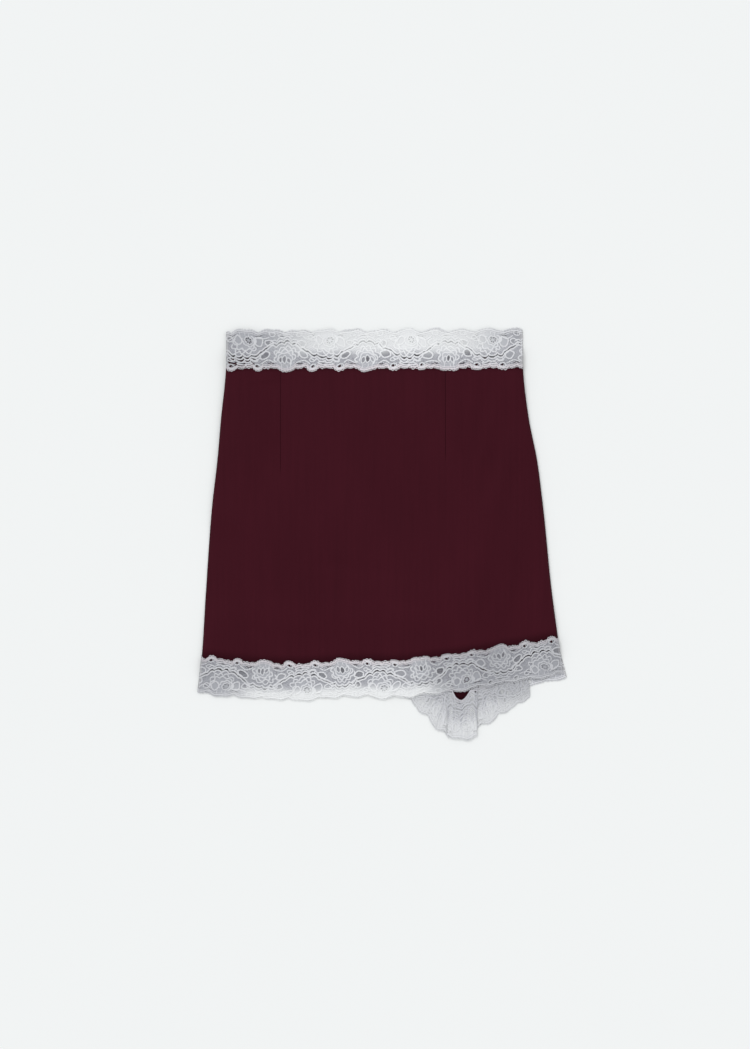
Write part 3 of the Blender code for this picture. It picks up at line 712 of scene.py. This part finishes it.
def along_line(line, outward, height):
    """Places a band along a seam line, with its depth measured square to the line and outwards."""
    def place(along, depth):
        slope = (line(along + SLOPE_OVER) - line(along - SLOPE_OVER)) / (2 * SLOPE_OVER)
        square = outward / np.sqrt(1 + slope ** 2)
        x, y = along - slope * square * depth, line(along) + square * depth
        return np.stack([x, y, height(x, y)], axis=-1)
    return place


def dimmer_from(x, middle, reach, loss):
    """Painted shade on a band, its tone: 1 - loss (|x - middle| / reach)^1.6, so that its ends are the
    greyest.
    """
    return 1.0 - loss * np.clip(np.abs(x - middle) / reach, 0.0, 1.0) ** 1.6


def back_look(x, y, depth):
    """A back band: painted shade a little greyer all over, nowhere washed out and closed."""
    return dimmer_from(x, 0.0, 0.20, 0.15) - 0.05, 0.0 * x, 0.0 * x


NET_OFF_TABLE = 0.00045
CORDS_BELOW, CORDS_ABOVE = -0.00010, 0.00015  # how far the cords' middle stands off a net
LACE_TUCK = 0.0003  # how far a back band bends up at its ends to meet the front one
BACK_CORD_STEP, BACK_CORD_SIDES = 0.0012, 5
LACE = (lace_net("lace_net", 1.0), lace_cord("lace_cord", 1.0))
WAIST_ENDS = tuple(float(across_skirt(WAIST_ENDS_AT, s)) for s in (0, 1))
HEM_ENDS = (float(across_skirt(HEM_ENDS_AT[0], 0)), float(across_skirt(HEM_ENDS_AT[1], 1)))


def back_lace_height(x, y):
    """The net of a back band: flat, just off the table, and bent up a little at the side seams."""
    return NET_OFF_TABLE + LACE_TUCK * step(SIDE_TUCK, 0.0, from_side(x, y))


back_waist = (along_line(waist_line, 1, back_lace_height), *WAIST_ENDS, WAIST_ROSE_AT + WAIST_PITCH,
              WAIST_PITCH, WAIST_WIDE)
back_hem = (along_line(back_hem_line, -1, back_lace_height), *HEM_ENDS, BACK_HEM_ROSE_AT,
            HEM_PITCH, HEM_WIDE)
for name, band, node, deep in (("back_waist_lace", back_waist, "waist_lace_back", WAIST_CUT),
                               ("back_hem_lace", back_hem, "hem_lace_back", HEM_CUT)):
    pieces = lace(name, band, LACE, False, CORDS_BELOW, back_look, True, BACK_CORD_STEP, BACK_CORD_SIDES)
    declare(*pieces, node, (band[2] - band[1], deep), ["back_satin"])

# ==========================================================
# Concealed zip, in the left side seam. Two dark knitted tapes, side by side behind the waist lace and
# folded on each other below it, with a nylon coil between them. It is sewn to the seam's allowances.

ZIP_TOP, ZIP_FOOT = 0.2270, 0.0300
ZIP_INSET = 0.0030  # from the left seam
ZIP_WIDE, ZIP_NARROW = 0.0270, 0.0130
ZIP_FOLD = (0.184, 0.172)
TAPE_RIBS, TAPE_COURSES = 0.0011, 0.0006  # of the knitting
TAPE_OVER = 0.0004  # its top above the underside of its solid
TAPE_DARK = (0.0075, 0.0030, 0.0045, 1.0)
TAPE_LIGHT = (0.0300, 0.0120, 0.0170, 1.0)
COIL_PITCH, COIL_WIDE, COIL_LEAN, COIL_THREAD = 0.0012, 0.0028, 0.0003, 0.0005
COIL_OVER = 0.0002  # its middle above the tape's top
COIL_END = 0.006  # from each end of the tape
LAP_REACH = (0.004, 0.014)  # how far past its own edge a lap still lifts what lies on it, and no longer


def zip_tape_finish():
    """The tape: knitted ribs along its length, as a sine across it, crossed by finer courses."""
    finish = Finish("zip_tape", Roughness=0.8, Specular_IOR_Level=0.2)
    _, x, y = finish.place()
    knit = x.ripple(TAPE_RIBS) * 0.7 + y.ripple(TAPE_COURSES) * 0.3
    finish.feed(finish.shader, {"Base Color": finish.blend(knit, TAPE_DARK, TAPE_LIGHT)})
    finish.relief(knit, 0.0001, 0.8)
    return finish.material


def over(inside, reach):
    """1 inside an outline or just past it, and 0 further out; inside is how far in a place lies."""
    return step(-reach[1], -reach[0], inside)


def over_back_lap(x, y, reach):
    """1 where the back satin rides on its lace, at the waist and the hem."""
    def at_seam(inward):
        return over(LAP_DOWN - inward, reach) * over(LAP + inward, LAP_REACH)
    return np.maximum(at_seam(y - back_hem_line(x)), at_seam(waist_line(x) - y))


def zip_height(x, y):
    """The tape's top, on the back satin where that rides on its lace."""
    return LAYER * (1.0 + over_back_lap(x, y, LAP_REACH)) + TAPE_OVER


def zip_wide(y):
    """Width over both tapes: side by side above the fold, then a smooth step down to one on the other."""
    return ZIP_NARROW + (ZIP_WIDE - ZIP_NARROW) * step(*ZIP_FOLD[::-1], y)


def on_zip(aside, y):
    """A place on the coil: the zip's middle line + aside, at that height."""
    x = through(SIDE_SEAMS, 1, y) + ZIP_INSET + zip_wide(y) / 2 + aside
    return np.stack([x, y, zip_height(x, y) + COIL_OVER], axis=-1)


s, y = np.meshgrid(np.linspace(0, 1, 13), np.linspace(ZIP_TOP, ZIP_FOOT, 120))
x = through(SIDE_SEAMS, 1, y) + ZIP_INSET + zip_wide(y) * s
zip_finish = zip_tape_finish()
zip_tape = make_sheet("zip_tape_cloth", x, y, zip_height(x, y), True, zip_finish)
thicken(zip_tape, SATIN_THICK)
turns = np.arange((ZIP_TOP - ZIP_FOOT - 2 * COIL_END) / COIL_PITCH)[:, None]
loop = 2 * math.pi * np.arange(8) / 8
teeth = np.stack([COIL_WIDE / 2 * np.cos(loop) + 0.0 * turns,
                  ZIP_FOOT + COIL_END + COIL_PITCH * turns + COIL_LEAN * np.sin(loop)], axis=-1)
coil, corners, _ = tubes(on_zip, teeth, COIL_THREAD, 0.0, True)
zip_coil = make_piece("zip_coil", coil, corners, zip_finish)
dress("zip_tape", "zip_tape", zip_tape, zip_coil)

# ==========================================================
# Inner brief. A short satin brief hangs inside the skirt from the waist seam. Its crotch has slipped
# askew to the right and below the hem, where its narrow tip and its lace edges show.

BRIEF = (  # height, left edge, right edge
    (0.1800, -0.1500, 0.1340),
    (0.1180, -0.1540, 0.1440),
    (0.0370, -0.1480, 0.1530),
    (-0.0320, -0.0940, 0.1560),
    (-0.0890, -0.0200, 0.1500),
    (-0.1240, 0.0170, 0.1450),
    (-0.1410, 0.0320, 0.1360),
    (-0.1580, 0.0480, 0.1240),
    (-0.1750, 0.0650, 0.1130),
    (-0.1930, 0.0820, 0.1020),
    (-0.2040, 0.0900, 0.0945),
)
BRIEF_TOP, BRIEF_FOOT = BRIEF[0][0], BRIEF[-1][0]
BRIEF_OVER = 0.0008  # its top above the underside of its solid
RIPPLE = 0.0002
BACK_REACH = (0.004, 0.014)
LEG_REACH = (0.008, 0.016)


def over_back(x, y):
    """1 over the back of the skirt, falling to 0 below its hem lace."""
    return over(y - back_hem_line(x) + HEM_WIDE + ROSE_SCALLOP, BACK_REACH)


def over_brief(x, y, reach):
    """1 over the brief's satin and just past it."""
    left, right = through(BRIEF, 1, y), through(BRIEF, 2, y)
    return over(np.minimum.reduce([x - left, right - x, BRIEF_TOP - y, y - BRIEF_FOOT]), reach)


def brief_low(x, y):
    """Underside of what lies on the back of the skirt and comes down to the table below its hem."""
    return LAYER * (over_back(x, y) + over_back_lap(x, y, LAP_REACH))


s, t = np.meshgrid(np.linspace(0, 1, 61), np.linspace(0, 1, 111))
y = BRIEF_TOP + (BRIEF_FOOT - BRIEF_TOP) * (1 - (1 - t) ** 1.3)
x = through(BRIEF, 1, y) + (through(BRIEF, 2, y) - through(BRIEF, 1, y)) * s
ripple = RIPPLE * np.sin(18 * math.pi * s + 3 * t) * step(0.0, 0.2, t) * step(-0.19, -0.14, y)
# painted shade darkens the brief's satin towards its foot, under the lace
brief = make_sheet("brief_satin", x, y, brief_low(x, y) + BRIEF_OVER + ripple, True, satin("brief_satin"),
                   pressed=0.7 * step(-0.165, -0.185, y))
thicken(brief, SATIN_THICK)
dress("brief_body", "satin", brief)

# ==========================================================
# Lace of the inner brief. A length of the same galloon is gathered round each leg, so that it fans out,
# and a short flat length crosses over both at the crotch, its scalloped edge round the tip of the satin.

LEFT_LEG = (  # corners: inner top, inner foot, outer foot, outer top
    (0.0600, -0.1610), (0.0795, -0.1825), (0.0770, -0.2325), (0.0215, -0.1790),
)
RIGHT_LEG = (
    (0.1680, -0.1600), (0.1010, -0.1835), (0.1085, -0.2225), (0.1705, -0.1870),
)
LEG_WAVES, LEG_WAVE_TALL = 5, 0.0008
LEG_PLEATS, LEG_PLEAT_TALL = 17, 0.00030
LEG_OVER, CROTCH_OVER = 0.0003, 0.0009  # the nets above the undersides of their solids
CROTCH = (0.0755, 0.1095, -0.1820, -0.2328)  # left, right, top, foot
CROTCH_DIP, CROTCH_DIP_AT, CROTCH_DIP_HALF = 0.0112, 0.45, 0.31


def leg_place(corners):
    """Places a gathered length: out from the inner edge of a fan, with the fan's waves and fine pleats."""
    inner_top, inner_foot, outer_foot, outer_top = (np.array(c) for c in corners)

    def place(along, depth):
        share, out = np.broadcast_arrays((along / REPEAT)[..., None], (depth / DRAWN_WIDE)[..., None])
        inner = inner_top + (inner_foot - inner_top) * share
        outer = outer_top + (outer_foot - outer_top) * share
        x, y = np.moveaxis(inner + (outer - inner) * out, -1, 0)
        share, out = share[..., 0], out[..., 0]
        turn = 2 * math.pi * share
        waves = LEG_WAVE_TALL * (0.5 - 0.5 * np.cos(LEG_WAVES * turn))
        pleats = LEG_PLEAT_TALL * (0.5 - 0.5 * np.cos(LEG_PLEATS * turn + 2.0 * np.sin(5 * share)))
        fade = step(0.0, 0.4, out) * step(1.0, 0.92, share) * step(-0.190, -0.208, y)
        low = brief_low(x, y) + LAYER * over_brief(x, y, LEG_REACH) + LEG_OVER
        return np.stack([x, y, low + waves * fade + pleats * step(0.0, 0.25, out)], axis=-1)
    return place


def crotch_place(along, depth):
    """Places the crotch's length: across it from left to right, and down it from its dipped upper edge."""
    left, right, top, foot = CROTCH
    s = along / (right - left) + 0.5
    aside = np.clip(np.abs(s - CROTCH_DIP_AT) / CROTCH_DIP_HALF, 0.0, 1.0)
    upper = top - CROTCH_DIP * (1.0 - aside ** 2)
    y = upper + (foot - upper) * np.maximum(depth, 0.15 * depth) / DRAWN_WIDE
    x = left + (right - left) * s
    low = LAYER * (1.0 + over_back(x, y) + over_brief(x, y, LEG_REACH)) + CROTCH_OVER
    return np.stack([x, y, low], axis=-1)


def leg_look(x, y, depth):
    """Painted light paler to the outer edge, painted shade greyer by the skirt's hem and to the right."""
    tone = 0.86 - 0.26 * step(-0.205, -0.175, y) - 0.08 * step(0.11, 0.16, x)
    return tone, 0.54 * step(0.014, 0.036, depth), 0.0 * x


def crotch_look(x, y, depth):
    """Painted shade greyer in the middle of its length, and painted light palest at its foot."""
    return 0.88 - 0.18 * step(0.026, 0.012, depth), 0.52 * step(0.018, 0.030, depth), 0.0 * x


LEG_LACE = (lace_net("leg_lace_net", 0.55, 0.85), lace_cord("leg_lace_cord", 0.42))
LEG_CORDS_ABOVE = 0.00012
for name, node, corners in (("left_leg_lace", "brief_lace_left", LEFT_LEG),
                            ("right_leg_lace", "brief_lace_right", RIGHT_LEG)):
    band = (leg_place(corners), 0.0, REPEAT, 0.022, DRAWN_PITCH, DRAWN_WIDE)
    declare(*lace(name, band, LEG_LACE, True, LEG_CORDS_ABOVE, leg_look, False), node, (0.090, 0.044),
            ["back_satin", "back_hem_lace"], 0.0027)
half = (CROTCH[1] - CROTCH[0]) / 2
band = (crotch_place, -half, half, REPEAT / 2, DRAWN_PITCH, DRAWN_WIDE)
declare(*lace("crotch_lace", band, LEG_LACE, True, LEG_CORDS_ABOVE, crotch_look, False),
        "brief_lace_crotch", (0.036, 0.050), ["left_leg_lace", "right_leg_lace"], 0.0016)

# ==========================================================
# Front panel. The same satin with two waist darts. It rises off the back in a shallow loft, bends down
# to the side seams, and is broken by a few soft diagonal troughs and faint fold lines.

FRONT_HEM_LINE = (  # across, height of the seam between front satin and hem lace
    (-0.206, -0.1450),
    (-0.150, -0.1512),
    (-0.094, -0.1530),
    (-0.037, -0.1495),
    (0.021, -0.1500),
    (0.078, -0.1430),
    (0.136, -0.1340),
    (0.203, -0.1235),
)
CROWN, SIDE_ROLL = 0.0032, 0.045
WAIST_RISE, HEM_RISE, HEM_LOFT = 0.070, 0.055, 0.30
PANEL_REACH = (0.012, 0.080)  # the satin is stiff enough to pass over what lies under it in long slopes
FRONT_ZIP_REACH = (0.006, 0.045)
FRONT_LAP_REACH = (0.004, 0.055)
FRONT_GRID = 0.0024
FRONT_TUCK = 0.0010  # how far the front bends down along a side seam
DARTS = (  # across, foot
    (-0.1167, 0.0600),
    (0.0730, 0.0750),
)
DART_HALF, DART_DEEP = 0.0028, 0.00025
SATIN_OVER = 0.0009  # the satin's top above the underside of its solid
CREASE_FADE = 0.030  # in from a side seam, over which the troughs grow to their full depth
CREASES = (  # soft troughs: from (x, y) to (x, y), half width, depth
    (0.153, 0.152, 0.104, 0.018, 0.013, 0.0012),
    (0.122, 0.172, 0.095, 0.040, 0.010, 0.0008),
    (-0.185, -0.108, -0.070, -0.124, 0.012, 0.0008),
    (0.076, -0.082, 0.084, -0.136, 0.011, 0.0007),
    (-0.080, -0.034, 0.030, -0.050, 0.008, 0.0005),
    (0.160, 0.090, 0.132, -0.020, 0.007, 0.0004),
    (-0.158, 0.135, -0.150, 0.085, 0.006, 0.0004),
    (-0.100, 0.034, -0.096, -0.062, 0.004, 0.0002),
    (0.020, 0.120, 0.030, 0.020, 0.012, 0.0003),
    (-0.030, -0.070, 0.070, -0.092, 0.007, 0.0003),
    (0.150, -0.060, 0.186, -0.110, 0.008, 0.0004),
)


def front_hem_line(x):
    """Height of the front's hem seam at x."""
    return through(FRONT_HEM_LINE, 1, x)


def over_zip(x, y, reach):
    """1 over the zip tape, wide above the waist seam and narrow below it."""
    wide = np.where(y > ZIP_FOLD[1], ZIP_WIDE, ZIP_NARROW)
    zip_edge = through(SIDE_SEAMS, 1, y) + ZIP_INSET + wide
    return over(np.minimum.reduce([zip_edge - x, ZIP_TOP - y, y - ZIP_FOOT]), reach)


def trough(x, y, x0, y0, x1, y1, half, depth):
    """A soft trough along a line: depth exp(-(distance / half)^2), faded out at both ends."""
    length = math.hypot(x1 - x0, y1 - y0)
    along = ((x - x0) * (x1 - x0) + (y - y0) * (y1 - y0)) / length ** 2
    aside = ((x - x0) * (y1 - y0) - (y - y0) * (x1 - x0)) / length
    return depth * np.exp(-(aside / half) ** 2) * step(-0.12, 0.25, along) * step(1.12, 0.75, along)


def front_low(x, y, creases):
    """Underside of the front: a layer for each cloth below it + its loft - its troughs."""
    aside = np.clip(from_side(x, y) / SIDE_ROLL, 0.0, 1.0)
    down, up = waist_line(x) - y, y - front_hem_line(x)
    loft = CROWN * (1.0 - (1.0 - aside) ** 2) * step(0.0, WAIST_RISE, down)
    loft = loft * (HEM_LOFT + (1.0 - HEM_LOFT) * step(0.0, HEM_RISE, up))
    layers = 1.0 + over_brief(x, y, PANEL_REACH) + over_zip(x, y, FRONT_ZIP_REACH)
    layers = layers + over_back_lap(x, y, FRONT_LAP_REACH)
    clear = np.clip(from_side(x, y) / CREASE_FADE, 0.0, 1.0)
    return LAYER * layers + loft - clear * sum(trough(x, y, *row) for row in creases)


x, y = panel_grid(lambda x: waist_line(x) + LAP, lambda x: front_hem_line(x) - LAP, FRONT_GRID)
z = front_low(x, y, CREASES) + SATIN_OVER - FRONT_TUCK * step(SIDE_TUCK, 0.0, from_side(x, y))
for at, foot in DARTS:
    z = z - DART_DEEP * np.exp(-((x - at) / DART_HALF) ** 2) * step(foot - 0.01, foot + 0.03, y)
# painted shade on the front satin along its waist and hem seams, beside the lace
pressed = np.maximum(0.35 * step(0.008, 0.001, waist_line(x) - y),
                     0.60 * step(0.014, 0.003, y - front_hem_line(x)))
front_panel = make_sheet("front_satin", x, y, z, True, satin("front_satin", DARTS), pressed=pressed)
thicken(front_panel, SATIN_THICK)
dress("front_panel", "satin", front_panel)

# ==========================================================
# Front lace bands. The waist band and the hem band lie over the satin's cut edges with one scalloped
# edge, and hang free beyond it. Their side ends are sewn to the back bands in narrow seams.

BAND_REACH = (0.012, 0.026)
ZIP_REACH = (0.006, 0.016)
HEM_EDGE_LIFT = 0.35  # height of the front hem's edge where it passes the back's, in layers
LEGS_UNDER_HEM = (-0.004, 0.195)
LEGS_FADE = 0.014
EASE = 0.0003
NET_OVER = 0.00018  # the nets above the undersides of their solids
PANEL_CREASES = CREASES[:5]  # those that the solids have too


def front_waist_height(x, y):
    """The front waist net: on the front satin's edge, then down onto the zip and the back band."""
    satin_edge = waist_line(x) + LAP
    bare = LAYER * (1.0 + over_zip(x, y, ZIP_REACH))
    lapped = front_low(x, np.minimum(y, satin_edge), PANEL_CREASES) + LAYER + EASE
    return bare + (lapped - bare) * over(satin_edge - y, LAP_REACH) + NET_OVER


def front_hem_height(x, y):
    """The front hem net: on the front satin's edge, then down onto the brief, its lace and the back band."""
    satin_edge = front_hem_line(x) - LAP
    first, last = LEGS_UNDER_HEM
    legs = step(first, first + LEGS_FADE, x) * step(last, last - LEGS_FADE, x)
    back = HEM_EDGE_LIFT + (1.0 - HEM_EDGE_LIFT) * over_back(x, y)
    bare = LAYER * (back + over_back_lap(x, y, LAP_REACH) + over_brief(x, y, BAND_REACH) + legs)
    lapped = front_low(x, np.maximum(y, satin_edge), PANEL_CREASES) + LAYER + EASE
    return bare + (lapped - bare) * over(y - satin_edge, LAP_REACH) + NET_OVER


def waist_look(x, y, depth):
    """Painted shade greyer to its ends and beside the satin, painted light washing out the free half of its
    middle, and gaping over the zip.
    """
    washed = 0.80 * step(0.009, 0.023, depth) * step(0.150, 0.085, np.abs(x - 0.008))
    tone = dimmer_from(x, 0.02, 0.205, 0.42) - 0.04 * step(0.022, 0.010, depth)
    return tone, washed, step(-0.144, -0.150, x)


def hem_look(x, y, depth):
    """Painted shade greyer to its ends, beside the satin and over the brief, and painted light washing out
    most of its free edge.
    """
    washed = 0.90 * step(0.022, 0.034, depth) * step(0.142, 0.090, np.abs(x + 0.050))
    greyer = 0.10 + 0.26 * step(0.03, 0.065, x) * step(0.180, 0.120, x) + 0.06 * step(0.020, 0.008, depth)
    tone = dimmer_from(x, -0.02, 0.22, 0.42) - greyer
    return tone + (0.98 - tone) * washed ** 2, washed, 0.0 * x


front_waist = (along_line(waist_line, 1, front_waist_height), *WAIST_ENDS, WAIST_ROSE_AT,
               WAIST_PITCH, WAIST_WIDE)
front_hem = (along_line(front_hem_line, -1, front_hem_height), *HEM_ENDS, HEM_ROSE_AT, HEM_PITCH, HEM_WIDE)
for name, band, look, node, deep, below in (
        ("front_waist_lace", front_waist, waist_look, "waist_lace_front", WAIST_CUT,
         ["front_satin", "zip_tape_cloth", "back_waist_lace"]),
        ("front_hem_lace", front_hem, hem_look, "hem_lace_front", HEM_CUT,
         ["front_satin", "back_hem_lace", "left_leg_lace", "right_leg_lace"])):
    declare(*lace(name, band, LACE, True, CORDS_ABOVE, look), node, (band[2] - band[1], deep), below)

# ==========================================================
# Studio. A pale table top that the skirt lies on, soft light from all round with a little more from the
# upper left, and a camera straight above, set back for the photograph's flat view.

FLOOR_COLOUR = (0.860, 0.872, 0.866, 1.0)
TABLE_HALF, TABLE_BELOW = 15.0, 0.0002
PHOTO_HIGH = 1049  # pixels
METRES_A_PIXEL = 0.00115
LOOK_AT = (-0.00805, 0.0092, 0.0040)
LENS, SENSOR = 85.0, 36.0


def table_top():
    """The table top: one flat sheet, smooth and pale."""
    finish = Finish("table_top", Roughness=0.9, Specular_IOR_Level=0.0)
    bright = tuple(min(1.0, c * 1.01) for c in FLOOR_COLOUR[:3]) + (1.0,)
    finish.feed(finish.shader, {"Base Color": finish.blend(finish.noise(3.0), FLOOR_COLOUR, bright)})
    reach = np.linspace(-TABLE_HALF, TABLE_HALF, 9)
    x, y = np.meshgrid(reach, reach)
    return make_sheet("table_top", x, y, 0.0 * x - TABLE_BELOW, True, finish.material)


table_top()

world = bpy.data.worlds.new("studio")
bpy.context.scene.world = world
world.use_nodes = True
world.node_tree.nodes["Background"].inputs["Color"].default_value = (0.98, 0.99, 1.0, 1.0)
world.node_tree.nodes["Background"].inputs["Strength"].default_value = 0.80

key = bpy.data.lights.new("key", "SUN")
key.energy = 0.95
key.angle = 0.6
key_object = bpy.data.objects.new("key", key)
key_object.rotation_euler = (math.radians(38), 0.0, math.radians(215))
bpy.context.scene.collection.objects.link(key_object)

camera = bpy.data.cameras.new("camera")
camera.lens = LENS
camera.sensor_width = SENSOR
camera_object = bpy.data.objects.new("camera", camera)
distance = PHOTO_HIGH * METRES_A_PIXEL * LENS / SENSOR
camera_object.location = (LOOK_AT[0], LOOK_AT[1], LOOK_AT[2] + distance)
bpy.context.scene.collection.objects.link(camera_object)
bpy.context.scene.camera = camera_object
bpy.context.scene.view_settings.view_transform = "Standard"
